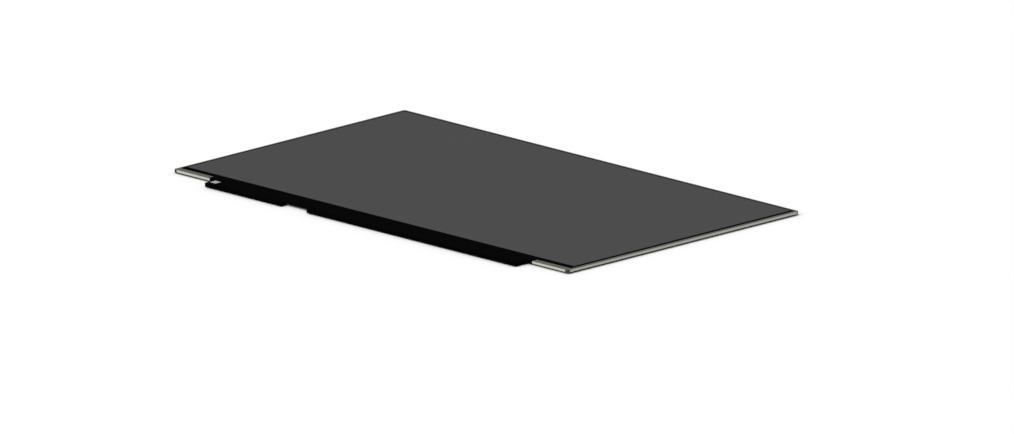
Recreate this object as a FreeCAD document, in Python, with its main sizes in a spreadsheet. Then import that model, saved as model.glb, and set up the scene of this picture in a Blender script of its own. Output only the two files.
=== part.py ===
import FreeCAD, Part
import os
import re
import Sketcher

# Liquid-crystal screen panel of a portable computer, lying face up, in millimetres.
# X runs along the long side, Y from the foot (board side) to the head, Z out of the screen.
# The origin is the middle of the panel outline, on the rear face of the metal tray.

SIZES = [
    # Outline and pressed metal tray
    ("panel_width", 350.66),
    ("panel_depth", 205.25),
    ("corner_round", 1.6),
    ("corner_relief", 2.7),
    ("side_relief", 1.7),
    ("tray_sheet", 0.25),
    ("tray_bend", 0.2),
    ("flange_drop", 0.12),
    ("foot_stub", 32.0),
    ("foot_setback", 0.7),
    # Moulded frame
    ("fit_gap", 0.05),
    ("frame_wall", 1.25),
    ("frame_lip", 0.35),
    ("lip_under", 0.9),
    ("foot_rim", 4.7),
    ("foot_beam", 3.3),
    ("foot_lip", 3.2),
    ("channel_ledge", 1.5),
    ("rim_round", 0.06),
    # Backlight films and light guide
    ("reflector_sheet", 0.12),
    ("guide_sheet", 0.55),
    ("diffuser_sheet", 0.1),
    ("prism_sheet", 0.13),
    ("top_diffuser_sheet", 0.08),
    ("film_headroom", 0.04),
    ("film_play", 0.12),
    ("film_setback", 0.6),
    ("ear_width", 12.0),
    ("ear_reach", 0.8),
    ("ear_spacing", 220.0),
    # Lamp strip
    ("flex_sheet", 0.1),
    ("flex_play", 0.05),
    ("flex_margin", 1.2),
    ("lamp_play", 0.1),
    ("lamp_width", 3.0),
    ("lamp_depth", 1.2),
    ("lamp_height", 0.5),
    ("lamp_window", 0.12),
    ("lamp_recess", 0.3),
    ("lamp_pitch", 7.2),
    ("lamp_count", 48),
    ("tail_width", 12.0),
    ("tail_place", 62.0),
    ("tail_bend_start", 0.4),
    ("tail_bend_run", 1.6),
    ("tail_bond", 1.4),
    # Liquid-crystal cell
    ("side_border", 3.25),
    ("foot_border", 8.4),
    ("glass_margin", 1.15),
    ("cell_gap", 0.1),
    ("tape_sheet", 0.1),
    ("array_sheet", 0.35),
    ("filter_sheet", 0.25),
    ("array_ledge", 2.0),
    ("front_polariser_sheet", 0.15),
    ("rear_polariser_sheet", 0.13),
    ("polariser_play", 0.1),
    # Driver films and their chips
    ("driver_count", 4),
    ("driver_width", 38.0),
    ("driver_pitch", 70.0),
    ("driver_sheet", 0.07),
    ("driver_ledge_bond", 1.4),
    ("driver_board_bond", 1.8),
    ("driver_chip_long", 20.0),
    ("driver_chip_deep", 1.4),
    ("driver_chip_tall", 0.35),
    ("driver_chip_place", 0.8),
    # Driver board
    ("board_sheet", 0.7),
    ("board_gap", 0.8),
    ("board_play", 0.1),
    ("board_corner", 0.6),
    # Formed cover over the board
    ("cover_sheet", 0.15),
    ("cover_strip_foot", 4.75),
    ("cover_edge", 0.1),
    ("cover_corner", 0.5),
    ("cover_round", 0.18),
    ("skirt_clear", 0.05),
    ("tab_clear", 0.35),
    ("flap_start", 136.83),
    ("flap_length", 276.1),
    ("flap_reach", 11.0),
    ("notch_start", 67.8),
    ("notch_width", 22.8),
    ("notch_depth", 4.7),
    # Earthing gasket in its window
    ("gasket_side", 5.4),
    ("gasket_play", 0.1),
    ("gasket_place", 3.5),
    ("gasket_row", 4.8),
    # Signal socket
    ("socket_width", 20.6),
    ("socket_depth", 4.2),
    ("socket_height", 1.15),
    ("socket_setback", 0.1),
    ("mouth_width", 17.6),
    ("mouth_height", 0.65),
    ("mouth_depth", 3.2),
    ("mouth_floor", 0.25),
    ("shell_sheet", 0.14),
    ("shell_play", 0.01),
    ("shell_inset", 0.3),
    ("contact_width", 0.22),
    ("contact_sheet", 0.1),
    ("contact_pitch", 0.5),
    ("contact_count", 30),
    ("contact_reach", 2.6),
    ("contact_foot", 0.7),
    ("contact_slot_play", 0.03),
    # Packages on the rear of the board: long side, depth, height, distance from the flap's left end, row
    ("timing_chip_long", 8.0),
    ("timing_chip_deep", 6.6),
    ("timing_chip_tall", 0.9),
    ("timing_chip_place", 146.5),
    ("timing_chip_row", 6.0),
    ("power_chip_long", 5.0),
    ("power_chip_deep", 5.0),
    ("power_chip_tall", 0.85),
    ("power_chip_place", 110.5),
    ("power_chip_row", 5.8),
    ("lamp_driver_chip_long", 4.0),
    ("lamp_driver_chip_deep", 4.0),
    ("lamp_driver_chip_tall", 0.8),
    ("lamp_driver_chip_place", 211.5),
    ("lamp_driver_chip_row", 6.2),
    ("memory_chip_long", 4.9),
    ("memory_chip_deep", 3.9),
    ("memory_chip_tall", 1.1),
    ("memory_chip_place", 165.5),
    ("memory_chip_row", 5.8),
    ("supply_coil_long", 4.0),
    ("supply_coil_deep", 4.0),
    ("supply_coil_tall", 1.2),
    ("supply_coil_place", 100.5),
    ("supply_coil_row", 5.8),
    ("lamp_coil_long", 5.0),
    ("lamp_coil_deep", 5.0),
    ("lamp_coil_tall", 1.25),
    ("lamp_coil_place", 223.5),
    ("lamp_coil_row", 6.2),
    ("lamp_diode_long", 3.6),
    ("lamp_diode_deep", 2.6),
    ("lamp_diode_tall", 1.0),
    ("lamp_diode_place", 233.5),
    ("lamp_diode_row", 6.2),
    ("package_chamfer", 0.12),
    # Bent terminals of the packages: the ease keeps the thickness of a slanted lead
    ("lead_sheet", 0.15),
    ("lead_width", 0.42),
    ("lead_pitch", 1.27),
    ("lead_row_count", 4),
    ("lead_shoulder", 0.25),
    ("lead_slant", 0.25),
    ("lead_toe", 0.55),
    ("lead_ease", 0.09),
    ("diode_tab_sheet", 0.14),
    ("diode_tab_width", 1.5),
    ("diode_tab_reach", 0.38),
    ("diode_tab_rise", 0.6),
    ("coil_clip_sheet", 0.12),
    ("coil_clip_width", 2.2),
    ("coil_clip_toe", 0.35),
    ("coil_clip_rise", 0.4),
    # Ceramic capacitors and film resistors, each a row on the rear of the board
    ("capacitor_long", 1.6),
    ("capacitor_deep", 0.8),
    ("capacitor_tall", 0.8),
    ("capacitor_cap", 0.3),
    ("capacitor_proud", 0.03),
    ("capacitor_place", 13.5),
    ("capacitor_row", 7.6),
    ("capacitor_pitch", 4.5),
    ("capacitor_count", 11),
    ("resistor_long", 1.0),
    ("resistor_deep", 0.5),
    ("resistor_tall", 0.35),
    ("resistor_place", 175.5),
    ("resistor_row", 8.2),
    ("resistor_pitch", 3.0),
    ("resistor_count", 9),
]

DOC = FreeCAD.newDocument("screen_panel")
SHEET = DOC.addObject("Spreadsheet::Sheet", "Sizes")
for row, (alias, size) in enumerate(SIZES, start=1):
    SHEET.set(f"A{row}", alias)
    SHEET.set(f"B{row}", str(size))
    SHEET.setAlias(f"B{row}", alias)
DOC.recompute()

PARTS = []


# Expressions of the sheet's sizes

def bound(text):
    """The same expression with every size named as a cell of the sheet."""
    return re.sub(r"\b([a-z][a-z_]*)\b", r"Sizes.\1", text)


def value(text):
    return float(SHEET.evalExpression(bound(text)))


def left(inset):
    return f"-panel_width / 2 + ({inset})"


def right(inset):
    return f"panel_width / 2 - ({inset})"


def foot(inset):
    return f"-panel_depth / 2 + ({inset})"


def head(inset):
    return f"panel_depth / 2 - ({inset})"


def out(reach):
    """A distance beyond the foot of the panel, where the board is."""
    return f"-panel_depth / 2 - ({reach})"


def rectangle(low_x, high_x, low_y, high_y):
    return [(low_x, low_y), (high_x, low_y), (high_x, high_y), (low_x, high_y)]


def inset_rectangle(sides, at_foot):
    return rectangle(left(sides), right(sides), foot(at_foot), head(sides))


# Building blocks

def new_body(label):
    body = DOC.addObject("PartDesign::Body", label)
    body.Label = label
    PARTS.append(body)
    return body


def plane(body, role):
    return next(item for item in body.Origin.OriginFeatures if item.Role == role)


def new_sketch(body, name, loops, level="0", role="XY_Plane"):
    """A fully placed sketch of closed polygons, each corner tied to the sheet."""
    sketch = body.newObject("Sketcher::SketchObject", f"{body.Label}_{name}")
    sketch.AttachmentSupport = [(plane(body, role), "")]
    sketch.MapMode = "FlatFace"
    sketch.setExpression("AttachmentOffset.Base.z", bound(level))
    for corners in loops:
        places = [FreeCAD.Vector(value(x), value(y), 0) for x, y in corners]
        first = sketch.GeometryCount
        count = len(corners)
        for index in range(count):
            sketch.addGeometry(Part.LineSegment(places[index], places[(index + 1) % count]), False)
        for index in range(count):
            joined = first + (index + 1) % count
            sketch.addConstraint(Sketcher.Constraint("Coincident", first + index, 2, joined, 1))
        for index, (x, y) in enumerate(corners):
            tie(sketch, "DistanceX", first + index, places[index].x, x)
            tie(sketch, "DistanceY", first + index, places[index].y, y)
    return sketch


def tie(sketch, kind, line, start, text):
    number = sketch.addConstraint(Sketcher.Constraint(kind, -1, 1, line, 1, start))
    name = f"{kind.lower()}_{line}"
    sketch.renameConstraint(number, name)
    sketch.setExpression(f"Constraints.{name}", bound(text))


def pad(body, name, loops, low, height, role="XY_Plane", symmetric=False):
    feature = body.newObject("PartDesign::Pad", f"{body.Label}_{name}_pad")
    feature.Profile = new_sketch(body, name, loops, low, role)
    feature.setExpression("Length", bound(height))
    if symmetric:
        feature.SideType = "Symmetric"
    body.Tip = feature
    DOC.recompute()
    return feature


def pocket(body, name, loops, top, depth, role="XY_Plane", along_normal=False):
    """A cut from the level of its sketch down the given depth, which has to remove material."""
    before = body.Shape.Volume
    feature = body.newObject("PartDesign::Pocket", f"{body.Label}_{name}_pocket")
    feature.Profile = new_sketch(body, name, loops, top, role)
    feature.setExpression("Length", bound(depth))
    feature.Reversed = along_normal
    body.Tip = feature
    DOC.recompute()
    if not body.Shape.Volume < before:
        raise ValueError(f"{body.Label}: {name} cuts nothing")
    return feature


def edges_where(body, wanted):
    """Names of the body's straight edges whose middle and direction suit the test."""
    names = []
    for number, edge in enumerate(body.Shape.Edges, start=1):
        if edge.Curve.TypeId != "Part::GeomLine":
            continue
        middle = edge.valueAt((edge.FirstParameter + edge.LastParameter) / 2)
        if wanted(middle, edge.tangentAt(edge.FirstParameter)):
            names.append(f"Edge{number}")
    return names


def blend(body, name, radius, wanted, kind="Fillet"):
    base = body.Tip
    edges = edges_where(body, wanted)
    if not edges:
        raise ValueError(f"{body.Label}: {name} finds no edge")
    feature = body.newObject(f"PartDesign::{kind}", f"{body.Label}_{name}")
    feature.Base = (base, edges)
    feature.setExpression("Radius" if kind == "Fillet" else "Size", bound(radius))
    body.Tip = feature
    DOC.recompute()
    return feature


def repeat(body, features, pitch, count):
    """Copies of the features along X, as separate solids of one group."""
    pattern = body.newObject("PartDesign::LinearPattern", f"{body.Label}_row")
    pattern.Originals = features
    pattern.Direction = (plane(body, "X_Axis"), [""])
    pattern.setExpression("Length", bound(f"({pitch}) * ({count} - 1)"))
    pattern.setExpression("Occurrences", bound(count))
    body.Tip = pattern
    DOC.recompute()


def sheet_box(label, corners, low, thickness):
    """A plain rectangular sheet or die, given by two opposite corners of its rectangle."""
    box = DOC.addObject("Part::Box", label)
    box.Label = label
    (low_x, low_y), (high_x, high_y) = corners[0], corners[2]
    box.setExpression("Length", bound(f"({high_x}) - ({low_x})"))
    box.setExpression("Width", bound(f"({high_y}) - ({low_y})"))
    box.setExpression("Height", bound(thickness))
    box.setExpression("Placement.Base.x", bound(low_x))
    box.setExpression("Placement.Base.y", bound(low_y))
    box.setExpression("Placement.Base.z", bound(low))
    PARTS.append(box)
    return box


def near(first, second):
    return abs(first - second) < 1e-4


# Levels of the stack, from the rear face up
GUIDE_Z = "tray_sheet + reflector_sheet"
LOWER_DIFFUSER_Z = f"{GUIDE_Z} + guide_sheet"
LOWER_PRISM_Z = f"{LOWER_DIFFUSER_Z} + diffuser_sheet"
UPPER_PRISM_Z = f"{LOWER_PRISM_Z} + prism_sheet"
UPPER_DIFFUSER_Z = f"{UPPER_PRISM_Z} + prism_sheet"
LIP_Z = f"{UPPER_DIFFUSER_Z} + top_diffuser_sheet + film_headroom"
TAPE_Z = f"{LIP_Z} + frame_lip"
ARRAY_Z = f"{TAPE_Z} + tape_sheet"
RIM_Z = f"{ARRAY_Z} + array_sheet"
FACE_Z = f"{RIM_Z} + filter_sheet"
FLANGE_Z = f"{RIM_Z} - flange_drop"
LAMP_Z = "tray_sheet + flex_sheet"
BOARD_Z = f"{RIM_Z} - board_sheet"

# Distances in from the panel outline
SHELL = "tray_sheet + fit_gap"
CAVITY = f"{SHELL} + frame_wall"
FILM_EDGE = f"{CAVITY} + film_play"
GLASS_EDGE = "side_border - glass_margin"
RIM_EDGE = f"{GLASS_EDGE} - cell_gap"
LIP_EDGE = f"{GLASS_EDGE} + lip_under"
FOOT_GLASS = "foot_rim + cell_gap"
FOOT_FILTER = f"{FOOT_GLASS} + array_ledge"
FOOT_LIP = f"{FOOT_GLASS} + foot_lip"
FOOT_BEAM = f"{SHELL} + foot_beam"
LAMP_BACK = f"{FOOT_BEAM} + lamp_play"
LAMP_FRONT = f"{LAMP_BACK} + lamp_depth"
GUIDE_FOOT = f"{LAMP_FRONT} + lamp_play"
FLEX_REACH = "(lamp_count - 1) * lamp_pitch / 2 + lamp_width"

# Places on the board side
FLAP_LEFT = "-flap_start"
FLAP_RIGHT = f"{FLAP_LEFT} + flap_length"
FLAP_MIDDLE = f"{FLAP_LEFT} + flap_length / 2"
NOTCH_LEFT = f"{FLAP_LEFT} + notch_start"
NOTCH_RIGHT = f"{NOTCH_LEFT} + notch_width"
NOTCH_MIDDLE = f"{NOTCH_LEFT} + notch_width / 2"
NOTCH_OUT = "flap_reach - notch_depth"
BOARD_INSET = "cover_sheet + board_play"
SOCKET_FRONT = f"{NOTCH_OUT} - socket_setback"
SOCKET_BACK = f"{SOCKET_FRONT} - socket_depth"


def make_rear_tray():
    """Pressed sheet with folded side walls, relieved at the corners and open at the foot."""
    tray = new_body("rear_tray")
    relief = "corner_relief"
    side = "side_relief"
    stub = "foot_stub"
    outline = [
        (left(relief), foot("0")), (left(stub), foot("0")),
        (left(stub), foot("foot_setback")), (right(stub), foot("foot_setback")),
        (right(stub), foot("0")), (right(relief), foot("0")),
        (right(relief), foot(side)), (right("0"), foot(side)),
        (right("0"), head(side)), (right(relief), head(side)),
        (right(relief), head("0")), (left(relief), head("0")),
        (left(relief), head(side)), (left("0"), head(side)),
        (left("0"), foot(side)), (left(relief), foot(side)),
    ]
    pad(tray, "plate", [outline], "0", "tray_sheet")
    flanges = [
        rectangle(left("0"), left("tray_sheet"), foot(side), head(side)),
        rectangle(right("tray_sheet"), right("0"), foot(side), head(side)),
        rectangle(left(relief), right(relief), head("tray_sheet"), head("0")),
        rectangle(left(relief), left(stub), foot("0"), foot("tray_sheet")),
        rectangle(right(stub), right(relief), foot("0"), foot("tray_sheet")),
    ]
    pad(tray, "flanges", flanges, "0", FLANGE_Z)
    half_width = value(right("0"))
    half_depth = value(head("0"))
    sheet = value("tray_sheet")

    def on_wall(middle, direction, inset):
        along_y = near(abs(direction.y), 1) and near(abs(middle.x), half_width - inset)
        along_x = near(abs(direction.x), 1) and near(abs(middle.y), half_depth - inset)
        return along_x or along_y

    blend(tray, "outer_bend", "tray_bend + tray_sheet",
          lambda middle, direction: near(middle.z, 0) and on_wall(middle, direction, 0))
    blend(tray, "inner_bend", "tray_bend",
          lambda middle, direction: near(middle.z, sheet) and on_wall(middle, direction, sheet))


def ear_spans(play):
    half = f"ear_width / 2 + {play}"
    return [(f"-ear_spacing / 2 - ({half})", f"-ear_spacing / 2 + ({half})"),
            (f"ear_spacing / 2 - ({half})", f"ear_spacing / 2 + ({half})")]


def make_mould_frame():
    """Stepped picture-frame moulding: film well below, cell seat above, driver channel at the foot."""
    frame = new_body("mould_frame")
    pad(frame, "block", [inset_rectangle("0", "0")], "0", RIM_Z)
    half_width = value(right("0"))
    half_depth = value(head("0"))
    blend(frame, "corners", "corner_round",
          lambda middle, direction: near(abs(direction.z), 1)
          and near(abs(middle.x), half_width) and near(abs(middle.y), half_depth))
    pocket(frame, "window", [inset_rectangle(LIP_EDGE, FOOT_LIP)], RIM_Z, RIM_Z)
    pocket(frame, "cell_seat", [inset_rectangle(RIM_EDGE, "foot_rim")], RIM_Z, f"{RIM_Z} - ({TAPE_Z})")
    pocket(frame, "film_well", [inset_rectangle(CAVITY, FOOT_BEAM)], LIP_Z, LIP_Z)
    post = "corner_relief - fit_gap"
    side_post = "side_relief - fit_gap"
    plate = rectangle(left(post), right(post), foot("-fit_gap"), head("-fit_gap"))
    pocket(frame, "plate_seat", [plate], "tray_sheet", "tray_sheet")
    sides = [
        rectangle(left("-fit_gap"), left(post), foot(side_post), head(side_post)),
        rectangle(right(post), right("-fit_gap"), foot(side_post), head(side_post)),
    ]
    pocket(frame, "plate_side_seat", sides, "tray_sheet", "tray_sheet")
    walls = [
        rectangle(left("-fit_gap"), left(SHELL), foot(side_post), head(side_post)),
        rectangle(right(SHELL), right("-fit_gap"), foot(side_post), head(side_post)),
        rectangle(left(post), right(post), head(SHELL), head("-fit_gap")),
        rectangle(left(post), right(post), foot("-fit_gap"), foot(SHELL)),
    ]
    pocket(frame, "wall_seat", walls, FLANGE_Z, FLANGE_Z)
    shell = value(SHELL)
    plate_top = value("tray_sheet")

    def beside_bend(middle, direction):
        along_y = near(abs(direction.y), 1) and near(abs(middle.x), half_width - shell)
        along_x = near(abs(direction.x), 1) and near(abs(middle.y), half_depth - shell)
        return near(middle.z, plate_top) and (along_x or along_y)

    blend(frame, "bend_clearance", "tray_bend", beside_bend, "Chamfer")
    channel_in = f"{FOOT_GLASS} - channel_ledge"
    channel = rectangle(left("foot_stub"), right("foot_stub"), foot("-fit_gap"), foot(channel_in))
    pocket(frame, "driver_channel", [channel], RIM_Z, f"{RIM_Z} - ({LIP_Z})")
    glass_way = rectangle(left("foot_stub"), right("foot_stub"), foot("0"), foot(FOOT_GLASS))
    pocket(frame, "driver_way", [glass_way], RIM_Z, f"{RIM_Z} - ({TAPE_Z})")
    flex_room = f"{FLEX_REACH} + flex_play"
    flex_top = f"{LAMP_Z} + flex_play"
    flex = rectangle(f"-({flex_room})", flex_room, foot("flex_margin - flex_play"), foot(FOOT_BEAM))
    pocket(frame, "flex_room", [flex], flex_top, flex_top)
    tail = rectangle("tail_place - tail_width / 2 - flex_play", "tail_place + tail_width / 2 + flex_play",
                     foot("-fit_gap"), foot("flex_margin"))
    pocket(frame, "tail_slot", [tail], flex_top, flex_top)
    ears = [rectangle(low, high, head(CAVITY), head(f"{CAVITY} - ear_reach"))
            for low, high in ear_spans("film_play")]
    pocket(frame, "ear_notches", ears, LIP_Z, LIP_Z)
    rim = value(RIM_Z)
    blend(frame, "rim_edge", "rim_round",
          lambda middle, direction: near(middle.z, rim) and near(abs(middle.x), half_width))


def make_film(label, low, thickness, at_foot):
    """One sheet of the backlight, hung by two ears at its head."""
    film = new_body(label)
    top = head(FILM_EDGE)
    ear_top = head(f"{FILM_EDGE} - ear_reach")
    (low_one, high_one), (low_two, high_two) = ear_spans("0")
    outline = [
        (left(FILM_EDGE), foot(at_foot)), (right(FILM_EDGE), foot(at_foot)), (right(FILM_EDGE), top),
        (high_two, top), (high_two, ear_top), (low_two, ear_top), (low_two, top),
        (high_one, top), (high_one, ear_top), (low_one, ear_top), (low_one, top),
        (left(FILM_EDGE), top),
    ]
    pad(film, "outline", [outline], low, thickness)


def make_backlight():
    film_foot = f"{GUIDE_FOOT} + film_setback"
    make_film("reflector_film", "tray_sheet", "reflector_sheet", GUIDE_FOOT)
    make_film("light_guide", GUIDE_Z, "guide_sheet", GUIDE_FOOT)
    make_film("lower_diffuser_film", LOWER_DIFFUSER_Z, "diffuser_sheet", film_foot)
    make_film("lower_prism_film", LOWER_PRISM_Z, "prism_sheet", film_foot)
    make_film("upper_prism_film", UPPER_PRISM_Z, "prism_sheet", film_foot)
    make_film("upper_diffuser_film", UPPER_DIFFUSER_Z, "top_diffuser_sheet", film_foot)


def make_lamp_strip():
    """Flexible strip under the foot beam, with a tail bent up to the rear of the board."""
    strip = new_body("lamp_flex")
    run = rectangle(f"-({FLEX_REACH})", FLEX_REACH, foot("flex_margin"), foot(LAMP_FRONT))
    pad(strip, "run", [run], "tray_sheet", "flex_sheet")
    bend_out = "tail_bend_start + tail_bend_run"
    land = f"board_gap + {bend_out} - tail_bend_start + tail_bond"
    under = f"{BOARD_Z} - flex_sheet"
    tail = [
        (foot("flex_margin"), "tray_sheet"), (out("tail_bend_start"), "tray_sheet"),
        (out(bend_out), under), (out(land), under), (out(land), BOARD_Z), (out(bend_out), BOARD_Z),
        (out("tail_bend_start"), LAMP_Z), (foot("flex_margin"), LAMP_Z),
    ]
    pad(strip, "tail", [tail], "tail_place", "tail_width", role="YZ_Plane", symmetric=True)

    lamps = new_body("lamps")
    start = "-(lamp_count - 1) * lamp_pitch / 2"
    half = "lamp_width / 2"
    case = rectangle(f"{start} - {half}", f"{start} + {half}", foot(LAMP_BACK), foot(LAMP_FRONT))
    block = pad(lamps, "case", [case], LAMP_Z, "lamp_height")
    mouth = rectangle(f"{start} - {half} + lamp_window", f"{start} + {half} - lamp_window",
                      f"{LAMP_Z} + lamp_window", f"{LAMP_Z} + lamp_height - lamp_window")
    cup = pocket(lamps, "cup", [mouth], f"-({foot(LAMP_FRONT)})", "lamp_recess",
                 role="XZ_Plane", along_normal=True)
    repeat(lamps, [block, cup], "lamp_pitch", "lamp_count")


def make_cell():
    """Two glass plates and their polarisers, held on the frame's lip by a ring of tape."""
    tape = new_body("cell_tape")
    ring = [inset_rectangle(GLASS_EDGE, FOOT_GLASS), inset_rectangle(LIP_EDGE, FOOT_LIP)]
    pad(tape, "ring", ring, TAPE_Z, "tape_sheet")
    rear = inset_rectangle(f"{LIP_EDGE} + polariser_play", f"{FOOT_LIP} + polariser_play")
    sheet_box("rear_polariser", rear, f"{ARRAY_Z} - rear_polariser_sheet", "rear_polariser_sheet")
    sheet_box("array_glass", inset_rectangle(GLASS_EDGE, FOOT_GLASS), ARRAY_Z, "array_sheet")
    sheet_box("filter_glass", inset_rectangle(GLASS_EDGE, FOOT_FILTER), RIM_Z, "filter_sheet")
    front = inset_rectangle("side_border", "foot_border")
    sheet_box("front_polariser", front, FACE_Z, "front_polariser_sheet")


def make_drivers():
    """Driver films from the glass ledge to the board, each with its chip underneath."""
    for number in range(int(value("driver_count"))):
        place = f"{FLAP_MIDDLE} + ({number} - (driver_count - 1) / 2) * driver_pitch"
        film = rectangle(f"{place} - driver_width / 2", f"{place} + driver_width / 2",
                         out("board_gap + driver_board_bond"), foot(f"{FOOT_GLASS} + driver_ledge_bond"))
        sheet_box(f"driver_film_{number + 1}", film, RIM_Z, "driver_sheet")
        chip = rectangle(f"{place} - driver_chip_long / 2", f"{place} + driver_chip_long / 2",
                         foot("driver_chip_place"), foot("driver_chip_place + driver_chip_deep"))
        sheet_box(f"driver_chip_{number + 1}", chip, f"{RIM_Z} - driver_chip_tall", "driver_chip_tall")


def flap_outline(inset, inner):
    """Outline of the board flap round its notch, drawn in by an inset and closed at the panel side."""
    edge = out(f"flap_reach - ({inset})")
    notch_edge = out(f"{NOTCH_OUT} - ({inset})")
    return [
        (f"{FLAP_LEFT} + {inset}", inner), (f"{FLAP_LEFT} + {inset}", edge),
        (f"{NOTCH_LEFT} - ({inset})", edge), (f"{NOTCH_LEFT} - ({inset})", notch_edge),
        (f"{NOTCH_RIGHT} + {inset}", notch_edge), (f"{NOTCH_RIGHT} + {inset}", edge),
        (f"{FLAP_RIGHT} - ({inset})", edge), (f"{FLAP_RIGHT} - ({inset})", inner),
    ]


def make_driver_board():
    board = new_body("driver_board")
    pad(board, "outline", [flap_outline(BOARD_INSET, out("board_gap"))], BOARD_Z, "board_sheet")
    low_y = value(out(f"flap_reach - ({BOARD_INSET})"))
    ends = (value(f"{FLAP_LEFT} + {BOARD_INSET}"), value(f"{FLAP_RIGHT} - ({BOARD_INSET})"))
    blend(board, "corners", "board_corner",
          lambda middle, direction: near(abs(direction.z), 1) and near(middle.y, low_y)
          and any(near(middle.x, end) for end in ends))


def make_board_cover():
    """Formed film: a strip on the glass margin, and a lid with skirts over the board."""
    cover = new_body("board_cover")
    top = f"{FACE_Z} + cover_sheet"
    pad(cover, "lid", [flap_outline("0", foot("0"))], "skirt_clear", f"{top} - skirt_clear")
    front = value(out("flap_reach"))
    ends = (value(FLAP_LEFT), value(FLAP_RIGHT))
    blend(cover, "lid_corners", "cover_corner",
          lambda middle, direction: near(abs(direction.z), 1) and near(middle.y, front)
          and any(near(middle.x, end) for end in ends))
    pocket(cover, "inside", [flap_outline("cover_sheet", foot("fit_gap"))], FACE_Z, FACE_Z)
    mouth = rectangle(NOTCH_LEFT, NOTCH_RIGHT, out(NOTCH_OUT), out(f"{NOTCH_OUT} - cover_sheet"))
    pocket(cover, "socket_way", [mouth], BOARD_Z, BOARD_Z)
    strip = f"{GLASS_EDGE} + cover_edge"
    stub = "foot_stub"
    strip_low = foot("cover_strip_foot")
    strip_high = foot("foot_border - cover_edge")
    sheet = [
        (left(strip), strip_high), (left(strip), strip_low), (left(stub), strip_low), (left(stub), foot("0")),
        (right(stub), foot("0")), (right(stub), strip_low), (right(strip), strip_low),
        (right(strip), strip_high),
    ]
    pad(cover, "strip", [sheet], FACE_Z, "cover_sheet")
    wall = rectangle(left(stub), right(stub), foot("0"), foot("cover_sheet"))
    pad(cover, "tab_wall", [wall], "tab_clear", f"{FACE_Z} - tab_clear")
    way = rectangle(f"{FLAP_LEFT} + cover_sheet", f"{FLAP_RIGHT} - cover_sheet",
                    foot("0"), foot("cover_sheet"))
    pocket(cover, "board_way", [way], FACE_Z, f"{FACE_Z} - tab_clear")
    half = "gasket_side / 2 + gasket_play"
    place = f"{FLAP_LEFT} + gasket_place"
    window = rectangle(f"{place} - ({half})", f"{place} + {half}",
                       out(f"gasket_row + {half}"), out(f"gasket_row - ({half})"))
    pocket(cover, "gasket_window", [window], top, "cover_sheet")
    level = value(top)
    blend(cover, "lid_edge", "cover_round",
          lambda middle, direction: near(middle.z, level)
          and (near(middle.y, front) or any(near(middle.x, end) for end in ends)))


def make_ground_gasket():
    half = "gasket_side / 2"
    place = f"{FLAP_LEFT} + gasket_place"
    gasket = new_body("ground_gasket")
    pad(gasket, "pad", [rectangle(f"{place} - {half}", f"{place} + {half}",
                                  out(f"gasket_row + {half}"), out(f"gasket_row - {half}"))],
        RIM_Z, "filter_sheet + cover_sheet")
    top = value(f"{FACE_Z} + cover_sheet")
    blend(gasket, "soft_edge", "cover_round", lambda middle, direction: near(middle.z, top))


def make_signal_socket():
    """Edge socket on the rear of the board: moulded housing, folded shell and a row of contacts."""
    low = f"{BOARD_Z} - socket_height"
    half = "socket_width / 2"
    mouth_low = f"{low} + mouth_floor"
    contact_low = f"{mouth_low} + mouth_height / 2 - contact_sheet / 2"
    housing = new_body("socket_housing")
    block = rectangle(f"{NOTCH_MIDDLE} - {half}", f"{NOTCH_MIDDLE} + {half}",
                      out(SOCKET_FRONT), out(SOCKET_BACK))
    pad(housing, "block", [block], low, "socket_height")
    mouth = rectangle(f"{NOTCH_MIDDLE} - mouth_width / 2", f"{NOTCH_MIDDLE} + mouth_width / 2",
                      mouth_low, f"{mouth_low} + mouth_height")
    pocket(housing, "mouth", [mouth], f"-({out(SOCKET_FRONT)})", "mouth_depth", role="XZ_Plane")
    slot_half = "(contact_count - 1) * contact_pitch / 2 + contact_width"
    slot_high = f"{contact_low} + contact_sheet + contact_slot_play"
    slot = rectangle(f"{NOTCH_MIDDLE} - ({slot_half})", f"{NOTCH_MIDDLE} + {slot_half}",
                     f"{contact_low} - contact_slot_play", slot_high)
    pocket(housing, "contact_slot", [slot], f"-({out(SOCKET_FRONT)})", "socket_depth", role="XZ_Plane")

    shell = new_body("socket_shell")
    inside = f"{half} + shell_play"
    outside = f"{inside} + shell_sheet"
    shell_high = f"{low} - shell_play"
    shell_low = f"{shell_high} - shell_sheet"
    fold = [
        (f"{NOTCH_MIDDLE} - ({outside})", shell_low), (f"{NOTCH_MIDDLE} + {outside}", shell_low),
        (f"{NOTCH_MIDDLE} + {outside}", BOARD_Z), (f"{NOTCH_MIDDLE} + {inside}", BOARD_Z),
        (f"{NOTCH_MIDDLE} + {inside}", shell_high), (f"{NOTCH_MIDDLE} - ({inside})", shell_high),
        (f"{NOTCH_MIDDLE} - ({inside})", BOARD_Z), (f"{NOTCH_MIDDLE} - ({outside})", BOARD_Z),
    ]
    pad(shell, "fold", [fold], f"-({out(SOCKET_BACK)}) + shell_inset",
        "socket_depth - shell_inset", role="XZ_Plane")

    contacts = new_body("socket_contacts")
    start = f"{NOTCH_MIDDLE} - (contact_count - 1) * contact_pitch / 2"
    tip = out(f"{SOCKET_BACK} + contact_reach")
    rise = out(f"{SOCKET_BACK} - contact_sheet - shell_inset")
    heel = out(f"{SOCKET_BACK} - shell_inset")
    toe = out(f"{SOCKET_BACK} - shell_inset - contact_foot")
    contact_high = f"{contact_low} + contact_sheet"
    bent = [
        (tip, contact_low), (rise, contact_low), (rise, f"{BOARD_Z} - contact_sheet"),
        (toe, f"{BOARD_Z} - contact_sheet"), (toe, BOARD_Z), (heel, BOARD_Z), (heel, contact_high),
        (tip, contact_high),
    ]
    blade = pad(contacts, "blade", [bent], start, "contact_width", role="YZ_Plane", symmetric=True)
    repeat(contacts, [blade], "contact_pitch", "contact_count")


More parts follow.
